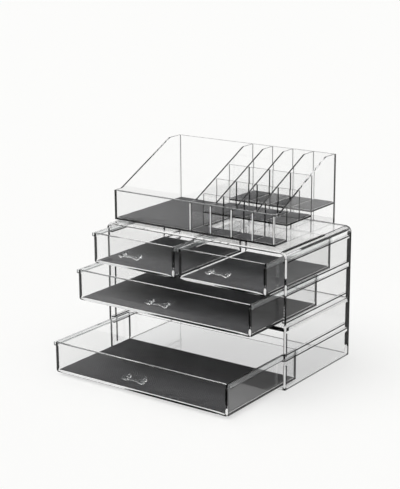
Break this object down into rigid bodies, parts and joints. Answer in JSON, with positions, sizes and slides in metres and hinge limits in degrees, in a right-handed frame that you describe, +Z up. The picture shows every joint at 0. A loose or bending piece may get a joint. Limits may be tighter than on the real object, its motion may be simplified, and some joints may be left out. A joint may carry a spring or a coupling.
{
  "type": "makeup organizer drawers",
  "caption": "Clear acrylic make-up organiser: open-fronted chest with hanging drawers on runners and a lift-off slotted top tray with stepped floors.",
  "frame": {"origin": "centre of the face the chest stands on", "axes": "+X to the right seen from the front, -Y out of the drawer fronts, +Z up"},
  "size_m": [0.24, 0.2507, 0.2317],
  "materials": {
    "clear_acrylic": "clear, polished",
    "acrylic_handle": "clear, polished",
    "mesh_liner": "woven non-slip mesh"
  },
  "bodies": {
    "casing": {"casing_wrap": "clear_acrylic", "back_panel": "clear_acrylic", "base_panel": "clear_acrylic", "mid_shelf": "clear_acrylic", "hanger_web": "clear_acrylic", "hanger_foot": "clear_acrylic", "runners_tier_1": "clear_acrylic", "runners_tier_2": "clear_acrylic", "runners_tier_3": "clear_acrylic", "runners_tier_4": "clear_acrylic"},
    "top_left_drawer": {"top_left_drawer_front": "clear_acrylic", "top_left_drawer_back": "clear_acrylic", "top_left_drawer_left_side": "clear_acrylic", "top_left_drawer_right_side": "clear_acrylic", "top_left_drawer_floor": "clear_acrylic", "top_left_drawer_slide_bars": "clear_acrylic", "top_left_drawer_handle": "acrylic_handle", "top_left_drawer_liner": "mesh_liner"},
    "top_right_drawer": {"top_right_drawer_front": "clear_acrylic", "top_right_drawer_back": "clear_acrylic", "top_right_drawer_left_side": "clear_acrylic", "top_right_drawer_right_side": "clear_acrylic", "top_right_drawer_floor": "clear_acrylic", "top_right_drawer_slide_bars": "clear_acrylic", "top_right_drawer_handle": "acrylic_handle", "top_right_drawer_liner": "mesh_liner"},
    "middle_drawer": {"middle_drawer_front": "clear_acrylic", "middle_drawer_back": "clear_acrylic", "middle_drawer_left_side": "clear_acrylic", "middle_drawer_right_side": "clear_acrylic", "middle_drawer_floor": "clear_acrylic", "middle_drawer_slide_bars": "clear_acrylic", "middle_drawer_handle": "acrylic_handle", "middle_drawer_liner": "mesh_liner"},
    "bottom_drawer": {"bottom_drawer_front": "clear_acrylic", "bottom_drawer_back": "clear_acrylic", "bottom_drawer_left_side": "clear_acrylic", "bottom_drawer_right_side": "clear_acrylic", "bottom_drawer_floor": "clear_acrylic", "bottom_drawer_slide_bars": "clear_acrylic", "bottom_drawer_handle": "acrylic_handle", "bottom_drawer_liner": "mesh_liner"},
    "tray": {"tray_front": "clear_acrylic", "tray_back": "clear_acrylic", "tray_left_side": "clear_acrylic", "tray_right_side": "clear_acrylic", "tray_divider_1": "clear_acrylic", "tray_divider_2": "clear_acrylic", "tray_divider_3": "clear_acrylic", "tray_divider_4": "clear_acrylic", "tray_cross_wall_1": "clear_acrylic", "tray_cross_wall_2": "clear_acrylic", "tray_cross_wall_3": "clear_acrylic", "tray_bay_floor": "clear_acrylic", "tray_front_floors": "clear_acrylic", "tray_middle_floors": "clear_acrylic", "tray_rear_floors": "clear_acrylic", "tray_bay_liner": "mesh_liner", "tray_slot_liners": "mesh_liner"}
  },
  "joints": [
    {"name": "top_left_drawer_slide", "type": "slide", "parent": "casing", "child": "top_left_drawer", "axis": [0, -1, 0], "range_m": [-0.031, 0.074]},
    {"name": "top_right_drawer_slide", "type": "slide", "parent": "casing", "child": "top_right_drawer", "axis": [0, -1, 0], "range_m": [-0.031, 0.074]},
    {"name": "middle_drawer_slide", "type": "slide", "parent": "casing", "child": "middle_drawer", "axis": [0, -1, 0], "range_m": [-0.059, 0.046]},
    {"name": "bottom_drawer_slide", "type": "slide", "parent": "casing", "child": "bottom_drawer", "axis": [0, -1, 0], "range_m": [-0.101, 0.004]},
    {"name": "tray_lift", "type": "slide", "parent": "casing", "child": "tray", "axis": [0, 0, 1], "range_m": [0, 0.12]}
  ]
}
